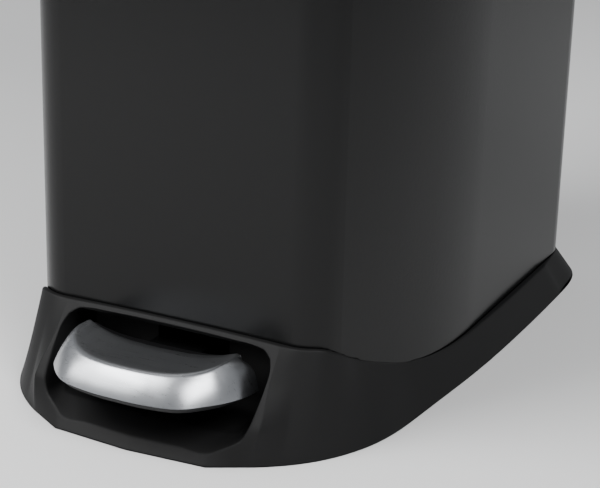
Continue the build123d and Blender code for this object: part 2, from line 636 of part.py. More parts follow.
with BuildPart() as lid_bracket:
    for x in (-ARM_OUT, ARM_IN):
        with BuildSketch(Plane.YZ.offset(x)):
            add(lid_arm_face())
        extrude(amount=ARM_OUT - ARM_IN)
    add(box_at((-30, LID_REAR - 40, LID_BOTTOM + 8), (30, LID_REAR - 5.5, LID_BOTTOM + 10)))
    add(rod_along_x(HINGE_Y, HINGE_Z, HINGE_R + RUN, -40, 40), mode=Mode.SUBTRACT)
    add(rod_along_x(YOKE_Y, YOKE_Z, YOKE_PIN_R, -40, 40), mode=Mode.SUBTRACT)

with BuildPart() as yoke_pin:
    add(rod_along_x(YOKE_Y, YOKE_Z, YOKE_PIN_R, -ARM_OUT - 1, ARM_OUT + 1))

with BuildPart() as lid_screws:
    with Locations([(x, LID_REAR + dy, LID_BOTTOM + 6.4) for x in (-23, 23) for dy in (-33, -14)]):
        Cylinder(3.2, 1.6, align=(Align.CENTER, Align.CENTER, Align.MIN))

# ---- write --------------------------------------------------------------------------------
PIECES = {
    "base_housing": base_housing.part, "bottom_plate": bottom_plate.part,
    "rubber_feet": rubber_feet.part, "base_screws": base_screws.part,
    "outer_shell": outer_shell.part, "pedal_cover": pedal_cover.part,
    "pedal_core": pedal_core.part, "pedal_lever": pedal_lever.part,
    "lever_bushes": lever_bushes.part, "lever_axle": lever_axle.part,
    "axle_clips": axle_clips.part, "axle_bracket_left": axle_bracket_left,
    "axle_bracket_right": axle_bracket_right, "bracket_screws": bracket_screws.part,
    "lever_pin": lever_pin.part, "pedal_screws": pedal_screws.part,
    "rod_foot": rod_foot.part, "push_rod": push_rod.part, "rod_yoke": rod_yoke.part,
    "rod_guide_lower": rod_guide_lower, "rod_guide_upper": rod_guide_upper,
    "damper_cylinder": damper_cylinder.part, "damper_bracket": damper_bracket.part,
    "damper_rod": damper_rod.part, "damper_clamp": damper_clamp.part,
    "inner_bucket": inner_bucket.part, "bag_ring": bag_ring.part,
    "top_collar": top_collar.part, "hinge_pin": hinge_pin.part,
    "hinge_pin_clips": hinge_pin_clips.part, "rear_hinge_cover": rear_hinge_cover.part,
    "lid_bumpers": lid_bumpers.part, "lid_skin": lid_skin.part, "lid_liner": lid_liner.part,
    "lid_bracket": lid_bracket.part, "yoke_pin": yoke_pin.part, "lid_screws": lid_screws.part,
}
for piece_name, piece in PIECES.items():
    save(piece, piece_name)
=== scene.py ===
# %% [markdown]
# # A slim pedal bin, finished in Blender
#
# The bin stands on the floor. Its steel body sits in a flared moulded base, a stainless pedal
# looks out of a foot opening in that base, and a lid is hinged at the rear. The CAD model is
# already to size, so it is loaded first and never moved. Everything below either gives a CAD
# piece its finish or builds a finer skin exactly where the CAD piece is. Lengths in this file
# are metres; the small helper `mm` lets the numbers read as a maker would say them.

# %% Load the frame
import json
import math

import bmesh
import bpy
import numpy as np
from mathutils import Matrix, Vector


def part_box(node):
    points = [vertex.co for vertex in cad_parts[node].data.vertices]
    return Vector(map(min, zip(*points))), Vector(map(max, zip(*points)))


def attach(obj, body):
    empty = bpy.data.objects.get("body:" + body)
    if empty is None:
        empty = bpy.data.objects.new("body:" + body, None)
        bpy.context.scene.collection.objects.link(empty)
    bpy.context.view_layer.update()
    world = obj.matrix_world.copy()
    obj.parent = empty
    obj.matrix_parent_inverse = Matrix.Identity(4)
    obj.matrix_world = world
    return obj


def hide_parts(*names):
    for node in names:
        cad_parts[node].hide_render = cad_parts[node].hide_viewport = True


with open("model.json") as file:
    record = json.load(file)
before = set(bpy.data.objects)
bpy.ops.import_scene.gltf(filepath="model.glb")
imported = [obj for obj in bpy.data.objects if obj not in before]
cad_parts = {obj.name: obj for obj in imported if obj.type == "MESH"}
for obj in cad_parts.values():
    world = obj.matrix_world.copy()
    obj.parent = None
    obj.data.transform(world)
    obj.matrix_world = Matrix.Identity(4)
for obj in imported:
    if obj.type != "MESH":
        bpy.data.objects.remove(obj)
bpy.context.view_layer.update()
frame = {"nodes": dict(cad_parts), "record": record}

scene = bpy.context.scene
mm = 0.001

# %% [markdown]
# ## Camera and room
#
# The view is a close three-quarter look at the lower front corner, taken with a long lens from
# a little above. A camera matrix is just three directions and a place: right, up, and backwards
# are its columns. The room is plain: a pale floor and wide soft lamps. A satin black panel only
# shows its shape by what it mirrors, so the lamps stand apart, low at the left front and high at
# the right front, and the corner between their reflections stays darker.

# %% Camera
looking = Vector((-0.4165, 0.8404, -0.3469)).normalized()
right = Vector((0.8917, 0.4521, 0.0246))
right = (right - looking * right.dot(looking)).normalized()
up = right.cross(looking)
FOCAL_LENGTH = 107.4                      # millimetres, a long lens that keeps uprights upright
EYE = (0.4835, -0.9668, 0.4577)
lens_data = bpy.data.cameras.new("close_view")
lens_data.lens = FOCAL_LENGTH
lens_data.sensor_width = 36.0
lens_data.clip_start = 0.05
camera = bpy.data.objects.new("close_view", lens_data)
camera.matrix_world = Matrix.Translation(EYE) @ Matrix(
    (right, up, -looking)).transposed().to_4x4()
scene.collection.objects.link(camera)
scene.camera = camera
print("camera at", EYE, "lens", FOCAL_LENGTH)

# %% [markdown]
# ## Two small tools for materials
#
# A material is a sum of cheap patterns. `Wire` wraps one output socket so that patterns can be
# added, multiplied and compared like numbers, each operator leaving a Math node behind. `Finish`
# starts a material and makes every other node through one method: type, settings, socket values.
# All patterns use object coordinates, so they stay on a part when it moves.


# %% Shader maths as Python
class Wire:
    """One output socket; + * and < on wires and numbers add Math nodes."""

    def __init__(self, tree, socket):
        self.tree = tree
        self.socket = socket

    def join(self, operation, first, second):
        node = self.tree.nodes.new("ShaderNodeMath")
        node.operation = operation
        for slot, value in enumerate((first, second)):
            if isinstance(value, Wire):
                self.tree.links.new(value.socket, node.inputs[slot])
            else:
                node.inputs[slot].default_value = value
        return Wire(self.tree, node.outputs[0])

    def __add__(self, other):
        return self.join("ADD", self, other)

    def __mul__(self, other):
        return self.join("MULTIPLY", self, other)

    def __lt__(self, other):
        return self.join("LESS_THAN", self, other)

    __radd__ = __add__
    __rmul__ = __mul__


class Finish:
    """A material under construction."""

    SPECK = 0.12                         # radius of a lint speck, as a share of its cell

    def __init__(self, name, **fixed):
        self.material = bpy.data.materials.new(name)
        self.material.use_nodes = True
        self.tree = self.material.node_tree
        self.shader = self.tree.nodes["Principled BSDF"]
        self.place = self.node("TexCoord", out="Object")
        for socket, value in fixed.items():
            self.shader.inputs[socket.replace("_", " ")].default_value = value

    def node(self, kind, settings=(), out=0, **sockets):
        """Adds one node: its settings first, then its sockets, by name or as _number."""
        node = self.tree.nodes.new("ShaderNode" + kind)
        for key, value in dict(settings).items():
            setattr(node, key, value)
        for key, value in sockets.items():
            self.feed(node.inputs[int(key[1:])] if key[0] == "_" else node.inputs[key], value)
        return Wire(self.tree, node.outputs[out])

    def feed(self, socket, value):
        if isinstance(value, Wire):
            self.tree.links.new(value.socket, socket)
        else:
            socket.default_value = value

    def noise(self, scale, detail=2.0, stretch=(1, 1, 1), rough=0.5):
        """Noise with `scale` cells to the metre, drawn out along an axis by stretch."""
        spot = self.node("Mapping", Vector=self.place, Scale=stretch)
        return self.node("TexNoise", Vector=spot, Scale=scale, Detail=detail, Roughness=rough)

    def specks(self, scale, share):
        """1 in a small round speck in a share of the cells, 0 elsewhere."""
        distance = self.node("TexVoronoi", Vector=self.place, Scale=scale)
        pick = self.node("TexVoronoi", out="Color", Vector=self.place, Scale=scale)
        return (pick < share) * (distance < self.SPECK)

    def tint(self, mask, low, high):
        """A colour between low and high; low may be a wire too."""
        ends = [end if isinstance(end, Wire) else (*end, 1.0) for end in (low, high)]
        return self.node("Mix", {"data_type": "RGBA"}, out=2, Factor=mask, _6=ends[0],
                         _7=ends[1])

    def wear(self, colour, roughness, height=None, depth=1.0, metal=0.0):
        """Wires the varying values into the shader; depth is the bump's distance."""
        for socket, value in (("Base Color", colour), ("Roughness", roughness),
                              ("Metallic", metal)):
            self.feed(self.shader.inputs[socket], value)
        if height is not None:
            bump = self.node("Bump", Height=height, Distance=depth, Strength=1.0)
            self.feed(self.shader.inputs["Normal"], bump)
        return self.material


def scaled(colour, *factors):
    """A colour with its channels multiplied, by one factor or by three."""
    return tuple(v * f for v, f in zip(colour, factors if len(factors) == 3 else factors * 3))


# %% [markdown]
# ## Finishes
#
# Black is never one colour here. The body is powder coat over steel: a satin skin with faint
# orange peel, the slow ripple left by powder that melted and flowed. Two noises, one a few
# millimetres wide and one much finer, make that ripple, and a slow cloud varies the gloss.

# %% Powder-coated steel
def powder_coat(name, base=0.0035):
    made = Finish(name, Specular_IOR_Level=0.2)
    peel = made.noise(420.0, 3.0)
    grain = made.noise(2600.0, 2.0)
    cloud = made.noise(9.0, 3.0)
    low = scaled((base,) * 3, 0.96, 0.99, 1.04)
    high = scaled((base * 1.25,) * 3, 1.0, 1.0, 1.02)
    return made.wear(made.tint(cloud * 0.6 + grain * 0.4, low, high),
                     0.2 + cloud * 0.04 + grain * 0.04,
                     peel * 0.8 + grain * 0.2, 0.00006)


steel_black = powder_coat("powder_coat_black")
print("made", steel_black.name)

# %% [markdown]
# The mould of the base is spark eroded, which leaves a fine even grain on the plastic. Grain
# scatters light, so the base is duller than the body. Lint settles in it, as a few pale specks.
# The bucket, the bag ring, the rubber and the bearings use the same recipe with other numbers.


# %% Moulded plastics
def moulded(name, base, grain_scale=1500.0, depth=0.00006, rough=0.5, dust=0.02, spec=0.2):
    made = Finish(name, Specular_IOR_Level=spec)
    grain = made.noise(grain_scale, 3.0, rough=0.6)
    cloud = made.noise(14.0, 3.0)
    lint = made.specks(160.0, dust)
    shade = made.tint(cloud * 0.5 + grain * 0.5, scaled(base, 0.82), scaled(base, 1.2))
    dusty = made.tint(lint * 0.5, shade, (0.25, 0.25, 0.24))
    return made.wear(dusty, rough + grain * 0.12 + cloud * 0.05, grain, depth)


base_black = moulded("moulded_base_black", (0.0062, 0.0062, 0.0064))
inner_grey = moulded("moulded_inner_grey", (0.020, 0.0205, 0.0215), rough=0.42, spec=0.35)
pedal_black = moulded("pedal_block_black", (0.010, 0.010, 0.011), rough=0.4)
ring_black = moulded("bag_ring_black", (0.018, 0.018, 0.019), rough=0.35)
bearing_white = moulded("acetal_white", (0.62, 0.61, 0.57), rough=0.3, dust=0.0)
rubber_black = moulded("rubber_black", (0.02, 0.02, 0.02), 900.0, 0.0001, 0.75)
damper_black = moulded("damper_tube_black", (0.012, 0.012, 0.012), rough=0.28)
print("made", base_black.name, "and six more plastics")

# %% [markdown]
# The pedal is stainless that went under a brushing belt along its length. Its grain is noise
# drawn out about eighty times along X, which is cheap and needs no picture. The bump is less than
# a hundredth of a millimetre deep, because a deeper one would turn the metal to glitter.


# %% Brushed stainless
def brushed(name, base=(0.56, 0.575, 0.60), rough=0.2, depth=0.000008):
    made = Finish(name)
    stretch = (0.012, 1.0, 1.0)
    fine = made.noise(5200.0, 2.0, stretch)
    broad = made.noise(700.0, 3.0, stretch)
    cloud = made.noise(30.0, 2.0)
    return made.wear(made.tint(fine * 0.6 + broad * 0.4, scaled(base, 0.86), base),
                     rough + broad * 0.1 + fine * 0.06 + cloud * 0.03,
                     fine * 0.7 + broad * 0.3, depth, 1.0)


stainless = brushed("brushed_stainless")
print("made", stainless.name)

# %% [markdown]
# The hidden hardware is plated. Zinc grows in crystals, so a cell pattern breaks up its colour,
# and handling leaves short scratches. Each CAD piece then gets the finish that its record names.
# The lever is the one exception: it is dipped black, so that nothing shines behind the pedal.


# %% Plated and bare steels
def plated(name, base, rough, spangle):
    made = Finish(name)
    crystal = made.node("TexVoronoi", Vector=made.place, Scale=spangle)
    cloud = made.noise(60.0, 3.0)
    scratch = made.noise(1800.0, 2.0, (1, 0.05, 1))
    return made.wear(made.tint(crystal * 0.5 + cloud * 0.5, scaled(base, 0.8), base),
                     rough + cloud * 0.15 + scratch * 0.08, scratch, 0.00002, 1.0)


zinc = plated("zinc_plated_steel", (0.58, 0.60, 0.62), 0.28, 900.0)
spring = plated("spring_steel", (0.36, 0.36, 0.37), 0.25, 1400.0)
screw = plated("screw_steel", (0.50, 0.50, 0.50), 0.22, 2500.0)

FINISH = {
    "black_coated_steel": steel_black, "black_base_plastic": base_black,
    "dark_inner_plastic": inner_grey, "brushed_stainless": stainless,
    "pedal_plastic": pedal_black, "zinc_steel": zinc, "spring_steel": spring,
    "screw_steel": screw, "bearing_plastic": bearing_white, "damper_black": damper_black,
    "ring_plastic": ring_black, "black_rubber": rubber_black,
}
for entry in frame["record"]["subparts"]:
    mesh = frame["nodes"][entry["node"]].data
    mesh.materials.clear()
    mesh.materials.append(FINISH[entry["material_slot"]])
frame["nodes"]["pedal_lever"].data.materials[0] = steel_black
print("finishes:", len(bpy.data.materials))


# %% [markdown]
# ## From numbers to meshes
#
# Most pieces here are skins: rows of points that run along an edge, joined by four-sided faces.
# It is the same idea as planking a hull, and it gives clean flow along every fold. Points are
# written in millimetres with y counted back from the lip of the base, as a maker would measure
# them with a rule against the front edge, and turned into metres in the part's frame at the end.

# %% Skins
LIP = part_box("base_housing")[0].y / mm       # y of the lip's crown in the part's frame


def curve(points, count, start=None, end=None):
    """`count` points along a smooth curve through `points`, evenly spaced."""
    knots = np.array(points, float)
    gaps = np.linalg.norm(np.diff(knots, axis=0), axis=1)
    s = np.concatenate([[0], np.cumsum(gaps)])
    slopes = np.gradient(knots, s, axis=0, edge_order=1)
    if start is not None:
        slopes[0] = np.array(start) / np.linalg.norm(start)
    if end is not None:
        slopes[-1] = np.array(end) / np.linalg.norm(end)
    fine = np.linspace(0, s[-1], 40 * len(knots))
    at = np.clip(np.searchsorted(s, fine, side="right") - 1, 0, len(s) - 2)
    width = (s[at + 1] - s[at])[:, None]
    h = ((fine - s[at]) / (s[at + 1] - s[at]))[:, None]
    dense = ((2 * h ** 3 - 3 * h ** 2 + 1) * knots[at] + (h ** 3 - 2 * h ** 2 + h) * width
             * slopes[at] + (3 * h ** 2 - 2 * h ** 3) * knots[at + 1]
             + (h ** 3 - h ** 2) * width * slopes[at + 1])
    run = np.concatenate([[0], np.cumsum(np.linalg.norm(np.diff(dense, axis=0), axis=1))])
    even = np.linspace(0, run[-1], count)
    return np.stack([np.interp(even, run, dense[:, axis]) for axis in range(knots.shape[1])], 1)


def mirrored(half):
    """A half curve that starts on the middle line, and its mirror image before it."""
    flip = half[:0:-1].copy()
    flip[:, 0] *= -1
    return np.concatenate([flip, half])


def skin(name, patches, material, body, replaces=(), crease=35.0):
    """One mesh from patches of rows; a patch is (rows, whether its rows close round)."""
    built = bmesh.new()
    for rows, closed in patches:
        grid = [[built.verts.new((p[0] * mm, (p[1] + LIP) * mm, p[2] * mm)) for p in row]
                for row in rows]
        count = len(grid[0])
        for a, b in zip(grid, grid[1:]):
            for i in range(count if closed else count - 1):
                j = (i + 1) % count
                built.faces.new((a[i], a[j], b[j], b[i]))
    bmesh.ops.remove_doubles(built, verts=built.verts, dist=0.00002)
    bmesh.ops.dissolve_degenerate(built, edges=built.edges, dist=0.00001)
    bmesh.ops.recalc_face_normals(built, faces=built.faces)
    return settle(name, built, material, body, replaces, crease)


def settle(name, built, material, body, replaces=(), crease=35.0):
    """Makes the object, shades it smooth with creases, and lets it ride on its body."""
    mesh = bpy.data.meshes.new(name)
    built.to_mesh(mesh)
    built.free()
    mesh.materials.append(material)
    mesh.shade_smooth()
    mesh.set_sharp_from_angle(angle=math.radians(crease))
    piece = bpy.data.objects.new(name, mesh)
    scene.collection.objects.link(piece)
    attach(piece, body)
    if replaces:
        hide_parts(*replaces)
    print(name, len(mesh.polygons), "faces")
    return piece


def turn(before, corner, after, count=5):
    """Rows that round a corner: a quadratic curve from before, past corner, to after."""
    return [(1 - t) ** 2 * before + 2 * t * (1 - t) * corner + t * t * after
            for t in np.linspace(0, 1, count)]


# %% [markdown]
# ## Base skirt
#
# The base is one injection moulding. Its skirt spreads from the steel body down to the floor, so
# the tall narrow bin does not tip when the lid swings back. The outside is a ruled surface: every
# point of the outline on the floor is joined to a point of a smaller outline 60 mm up, and the
# rim cuts it off in a long falling curve. The CAD model has that surface with knife edges. A
# moulded edge is never that sharp, so the skirt is built again here with its true roundings, and
# only the hidden ribs and the platform are kept from the CAD mesh.

# %% Outlines of the skirt
TALL = 60                                # height of the upper outline
LEAN = 38.2                              # degrees that the front leans back
RIM = 3.5 + TALL * math.tan(math.radians(LEAN))
FLOOR_SIDE = [(72.7, 16.8), (85.3, 26), (98.5, 39), (110, 56), (119.5, 79), (126.4, 128),
              (131.5, 190), (134.1, 265), (134, 350)]
RIM_SIDE = [(70, RIM), (84, 52.5), (93.5, 58.5), (98.3, 70), (98.2, 92), (98.5, 128),
            (104.6, 190), (107.2, 260), (107, 325)]


KINK, CORNER = 24, 36                    # columns, counted from the middle, of the two folds


def outline(front, kink, foot, side, bend, rear):
    """Half an outline from the middle of the lip round to the middle of the rear."""
    flow = (np.linspace(0, 1, 80) ** 1.7 * 599).astype(int)
    spans = [np.linspace(front, kink, KINK + 1), np.linspace(kink, foot, CORNER - KINK + 1),
             curve(side, 600)[flow],
             curve([side[-1], *bend], 26, end=(-1, 0)), np.linspace(bend[-1], rear, 12)]
    half = np.concatenate([spans[0]] + [span[1:] for span in spans[1:]])
    near = slice(KINK - 1, KINK + 2)     # the kink itself is softened a little
    half[near] = (0.25 * half[KINK - 2:KINK + 1] + 0.5 * half[near]
                  + 0.25 * half[KINK:KINK + 3])
    return half


# The front face ends in a fold at each side. The fold swells forwards at mid height, by FOLD_X
# outwards and FOLD_Y forwards at the heights FOLD_Z.
FOLD_Z = [0, 10, 21, 28, 35, 42, 50, TALL]
FOLD_X = [0, 1.1, 2.2, 2.1, 1.0, 0.1, 0, 0]
FOLD_Y = [0, -5.0, -9.4, -8.0, -6.2, -4.2, -2.2, -0.2]
FOLD_FADE = 15                           # it fades out over this length along the side

floor_half = outline((0, 0), (49.5, 3.5), (72.7, 16.8), FLOOR_SIDE, [(123, 403), (88, 420)],
                     (0, 420))
rim_half = outline((0, RIM), (49.5, RIM), (70, RIM), RIM_SIDE, [(100, 358), (88, 374)],
                   (0, 374))
SEAM_Y = [-30, 56, 62, 69, 77, 86, 95, 107, 120, 132, 145, 160, 175, 190, 205, 460]
SEAM_Z = [59.5, 59.5, 57.7, 54.2, 49.5, 45.1, 41, 36, 31.5, 28.3, 25.8, 23.8, 22.4, 21.8, 21.5,
          21.5]


def seam(y, x):
    """Height of the rim at depth y, with the slight crown across the front."""
    crown = np.clip(1 - (x / 75) ** 2, 0, 1) * np.clip((60 - y) / 6, 0, 1)
    return np.interp(y, SEAM_Y, SEAM_Z) + 0.9 * crown


floor_line, rim_line = mirrored(floor_half)[:-1], mirrored(rim_half)[:-1]
MIDDLE = len(floor_half) - 1             # column in the middle of the front
everything = np.arange(len(floor_line))
beyond = np.linalg.norm(floor_half - floor_half[CORNER], axis=1)
steps = np.arange(len(floor_half))
pull_half = np.where(steps > CORNER, np.clip(1 - beyond / FOLD_FADE, 0, 1),
                     np.clip((steps - KINK) / (CORNER - KINK), 0, 1))
pull = np.concatenate([pull_half[:0:-1], pull_half])[:-1]


def wall_at(index, z):
    """Points of the skirt's outside: column numbers and heights, one each."""
    share = (z / TALL)[:, None]
    flat = floor_line[index] * (1 - share) + rim_line[index] * share
    fold = np.column_stack([np.interp(z, FOLD_Z, FOLD_X), np.interp(z, FOLD_Z, FOLD_Y)])
    fold[:, 0] *= np.sign(floor_line[index, 0])
    return np.column_stack([flat + fold * pull[index, None], z])


low, high = np.zeros(len(floor_line)), np.full(len(floor_line), 62.0)
for _ in range(30):                      # halving finds where each column meets the rim
    half_way = 0.5 * (low + high)
    spot = wall_at(everything, half_way)
    under = half_way < seam(spot[:, 1], spot[:, 0])
    low, high = np.where(under, half_way, low), np.where(under, high, half_way)
tops = 0.5 * (low + high)
print("skirt columns", len(floor_line), "rim from", round(tops.min(), 1), "to",
      round(tops.max(), 1))

# %% [markdown]
# ### Foot opening
#
# The front of the skirt leans back and carries the opening for the foot pedal. In front of the
# pedal an apron rises from the lip so that dust can be wiped out. The patch is a set of loops,
# like the rings of a tree: the outer ring follows the patch's border, the inner ones the
# opening, and each has the same number of points, so that a rounding is only a few more rings.

# %% Front patch
EDGE_ROWS = 26
front_columns = np.arange(MIDDLE - CORNER, MIDDLE + CORNER + 1)
heights = np.linspace(0, 1, EDGE_ROWS) ** 0.9
LOW_ROUND, TOP_ROUND = 0.9, 0.9


def on_front(x, z):
    """The leaning face's depth at x and height z."""
    depth = np.zeros(len(x))
    for i, (px, pz) in enumerate(zip(x, z)):
        level = wall_at(front_columns, np.full(len(front_columns), pz))
        depth[i] = np.interp(px, level[:, 0], level[:, 1])
    return depth


def column(index, share):
    """Points up one column between its two roundings, at shares of its height."""
    top = tops[index]
    z = LOW_ROUND + (top - TOP_ROUND - LOW_ROUND) * share
    return wall_at(np.full(len(z), index), z)


def level_row(index, share):
    """One point on each of the columns, all at the same share of their heights."""
    return np.array([column(i, np.array([share]))[0] for i in index])


left_side = column(front_columns[0], heights)
right_side = column(front_columns[-1], heights)
low_row = level_row(front_columns, 0.0)
high_row = level_row(front_columns, 1.0)
border = np.concatenate([low_row[:-1], right_side[:-1], high_row[:0:-1], left_side[:0:-1]])
span_counts = (len(low_row) - 1, EDGE_ROWS - 1, len(low_row) - 1, EDGE_ROWS - 1)


def loop(lower, side, upper):
    """A loop of (x, z) from half curves: lower edge, right side, upper edge."""
    low = mirrored(curve(lower, 200))
    high = mirrored(curve(upper, 200))[::-1]
    right = curve(side, 200)
    left = right[::-1] * (-1, 1)
    parts = []
    for line, count in zip((low, right, high, left), span_counts):
        run = np.concatenate([[0], np.cumsum(np.linalg.norm(np.diff(line, axis=0), axis=1))])
        even = np.linspace(0, run[-1], count + 1)[:-1]
        parts.append(np.stack([np.interp(even, run, line[:, k]) for k in (0, 1)], 1))
    return np.concatenate(parts)


mouth = loop([(0, 6.5), (30, 6.5), (49.3, 6.5), (58, 10.4)],
             [(58, 10.4), (63.6, 14.4), (66.6, 20), (68.3, 30), (69.0, 40), (68.6, 47.5),
              (66.4, 52.6)],
             [(0, 57.9), (40, 57.6), (54, 57.2), (61.5, 55.9), (66.4, 52.6)])
throat = loop([(0, 12.5), (40, 12.7), (50, 12.9), (57.0, 13.6)],
              [(57.0, 13.6), (61.4, 16.4), (63.9, 21), (66.4, 30), (67.6, 40), (67.4, 46.5),
               (65.2, 51)],
              [(0, 55.6), (40, 55.4), (53, 55.2), (60.4, 54.2), (65.2, 51)])
mouth_at = np.column_stack([mouth[:, 0], on_front(mouth[:, 0], mouth[:, 1]), mouth[:, 1]])
lower_share = np.clip((24 - mouth[:, 1]) / 10, 0, 1)
throat_depth = mouth_at[:, 1] + 10 + lower_share * 8.0
throat_at = np.column_stack([throat[:, 0], throat_depth, throat[:, 1]])
throat_at[:, 1] = np.where(mouth[:, 1] < 12, 23.0 + np.abs(throat[:, 0]) * 0.02, throat_at[:, 1])
for _ in range(3):
    throat_at[:, 1] = 0.25 * np.roll(throat_at[:, 1], 1) + 0.5 * throat_at[:, 1] + (
        0.25 * np.roll(throat_at[:, 1], -1))


def unit(v):
    return v / np.linalg.norm(v, axis=1)[:, None]


ROUND = 1.3                              # rounding between the leaning face and the opening
WALL_Y = 75.9                            # the recess ends at the moulded rear wall
outward = unit(border - mouth_at)
spare = np.linalg.norm(border - mouth_at, axis=1)[:, None]
start_at = mouth_at + outward * np.minimum(ROUND, 0.5 * spare)
start_at[:, 1] = on_front(start_at[:, 0], start_at[:, 2])
inward = unit(throat_at - mouth_at)
back = np.tile((0.0, 1.0, 0.0), (len(mouth), 1))
rings = [border + (start_at - border) * t for t in np.linspace(0, 1, 13) ** 0.8]
for ring in rings[1:-1]:
    ring[:, 1] = on_front(ring[:, 0], ring[:, 2])
rings += turn(start_at, mouth_at, mouth_at + inward * ROUND, 6)[1:]
rings += [mouth_at + (throat_at - mouth_at) * t for t in (0.3, 0.5, 0.7)]
rings += turn(throat_at - inward * 1.6, throat_at, throat_at + back * 1.6, 5)
wall = throat_at.copy()
wall[:, 1] = WALL_Y
rings += [throat_at + back * 6 + (wall - throat_at) * 0.2, wall]
print("front patch", len(rings), "rings of", len(border))

# %% [markdown]
# ### Sides, rim and ledge
#
# Round the sides and the rear the skirt is a plain grid: a rounding where it meets the floor,
# the ruled wall, a rounding at the rim, and then the narrow ledge that runs in to the steel
# body and drops into the groove that holds it.

# %% Body outline and the whole skirt
def body_outline(grow):
    """The steel body in plan, from the middle of the front round to the rear, grown outwards."""
    arc = np.radians(np.linspace(0, 72, 25))
    corner = np.column_stack([75 + (24 + grow) * np.sin(arc), 78 - (24 + grow) * np.cos(arc)])
    centre = np.array((75, 78)) + (24 - 470) * np.array((math.sin(arc[-1]), -math.cos(arc[-1])))
    bow = np.radians(np.linspace(72, 90, 40))
    side = centre + (470 + grow) * np.column_stack([np.sin(bow), -np.cos(bow)])
    edge = side[-1, 0]
    curl = np.radians(np.linspace(0, 90, 17))
    rear = np.column_stack([edge - (32 + grow) * (1 - np.cos(curl)),
                            368 + (32 + grow) * np.sin(curl)])
    half = np.concatenate([np.column_stack([np.linspace(0, 73, 36), np.full(36, 54 - grow)]),
                           corner, side[1:], np.linspace(side[-1], rear[0], 30)[1:], rear[1:],
                           np.linspace(rear[-1], (0, 400 + grow), 20)[1:]])
    return half


groove_line = mirrored(body_outline(0.35))
others = np.array([i for i in range(len(floor_line)) if i not in set(front_columns[1:-1])])
first = int(np.where(others == front_columns[-1])[0][0])
others = np.roll(others, -first)
side_rows = [level_row(others, share) for share in heights]


def ring_normals(points):
    ahead = np.roll(points[:, :2], -1, 0) - np.roll(points[:, :2], 1, 0)
    out = np.column_stack([ahead[:, 1], -ahead[:, 0], np.zeros(len(points))])
    return unit(out)


foot_row = level_row(everything, 0.0)
rim_row = level_row(everything, 1.0)
sill = wall_at(everything, tops)
normals = ring_normals(sill)
gap = np.array([groove_line[np.argmin(np.hypot(*(groove_line - p[:2]).T))] for p in sill])
room = np.linalg.norm(gap - sill[:, :2], axis=1)
reach = np.minimum(0.9, 0.45 * room)[:, None]
inner_edge = np.column_stack([gap, tops])
along = unit(inner_edge - sill)
rim_rows = turn(rim_row, sill, sill + along * reach, 6)
rim_rows += [sill + (inner_edge - sill) * 0.6, inner_edge - along * 0.25]
rim_rows += [inner_edge + (0, 0, -0.3), inner_edge + (0, 0, -6.0)]
ground = wall_at(everything, np.zeros(len(floor_line)))
foot_rows = turn(foot_row, ground, ground - ring_normals(ground) * 0.9, 5)[::-1]
foot_rows = [ground - ring_normals(ground) * 2.6] + foot_rows

fresh = skin("base_skirt", [(rings, True), (side_rows, False), (rim_rows, True),
                            (foot_rows, True)], base_black, "bin",
             crease=28.0)

# %% [markdown]
# ### The hidden half of the moulding
#
# Under the skirt the moulding has a platform, screw bosses and a rear wall for the foot recess.
# Nobody shapes those for looks, so they come from the CAD mesh: a merged copy, less every face
# that the new skin stands for.

# %% Keep the hidden ribs
from mathutils.bvhtree import BVHTree

shape = bmesh.new()
shape.from_mesh(fresh.data)
tree = BVHTree.FromBMesh(shape)
core = bmesh.new()
core.from_mesh(frame["nodes"]["base_housing"].data)
bmesh.ops.remove_doubles(core, verts=core.verts, dist=0.000005)
bmesh.ops.triangulate(core, faces=core.faces)
gone = []
for face in core.faces:
    centre = face.calc_center_median()
    x, y, z = centre.x / mm, centre.y / mm - LIP, centre.z / mm
    _, facing, _, distance = tree.find_nearest(centre)
    covered = distance < 1.6 * mm and facing.dot(face.normal) > 0.4
    in_recess = abs(x) < 73 and y < 75.4 and 0.3 < z < 58.6
    if covered and z > 0.2 or in_recess:
        gone.append(face)
bmesh.ops.delete(core, geom=gone, context="FACES")
core.from_mesh(fresh.data)
shape.free()
bpy.data.objects.remove(fresh)
settle("base_housing_moulded", core, base_black, "bin",
       ["base_housing"], 28.0)
print("CAD faces left out", len(gone))

# %% [markdown]
# ## Pedal
#
# The pedal is a steel skin folded over a plastic block. Seen from above its front is bowed, seen
# from the front its top is dished so that the foot stays in the middle. The skin is made of
# strips that start at the rear edge, cross the top plate, turn over a soft fold, run down the
# leaning face and end in a hem. Solidify then gives the sheet its thickness inwards.

# %% Pedal skin
COLUMNS = 90
fold_half = curve([(0, -0.7, 51.0), (16.4, 0.4, 51.05), (28.5, 3.8, 51.35), (38.1, 9.4, 52.1),
                   (45.1, 16.9, 53.2), (48.6, 26.4, 54.2), (49.6, 33, 54.3), (50.6, 37.6, 53.2),
                   (51.6, 40.2, 50.8)],
                  COLUMNS, start=(1, 0, 0))
hem_half = curve([(0, -10.9, 36.2), (20, -9.9, 36.2), (38, -5.6, 36.5), (49.6, 4.6, 36.8),
                  (56.2, 14.0, 36.5), (60.0, 25, 35.6), (60.9, 35, 34.4), (60.7, 43.6, 33.4)],
                 COLUMNS, start=(1, 0, 0))
rear_knots = np.array([(0, 35, 49.7), (20, 35.8, 49.9), (31, 36.8, 50.7), (40.4, 38.1, 52.4),
                       (45.6, 39.3, 53.9), (48.4, 40.3, 54.5), (49.8, 40.4, 53.9),
                       (50.6, 40.5, 52.9), (51.6, 40.5, 50.8)])
fold_line, hem_line = mirrored(fold_half), mirrored(hem_half)
rear_x = np.abs(fold_line[:, 0])
rear_line = np.column_stack([fold_line[:, 0]] + [
    np.interp(rear_x, rear_knots[:, 0], rear_knots[:, k]) for k in (1, 2)])
rear_line[:, 1] = np.maximum(rear_line[:, 1], fold_line[:, 1])
top_way = rear_line - fold_line
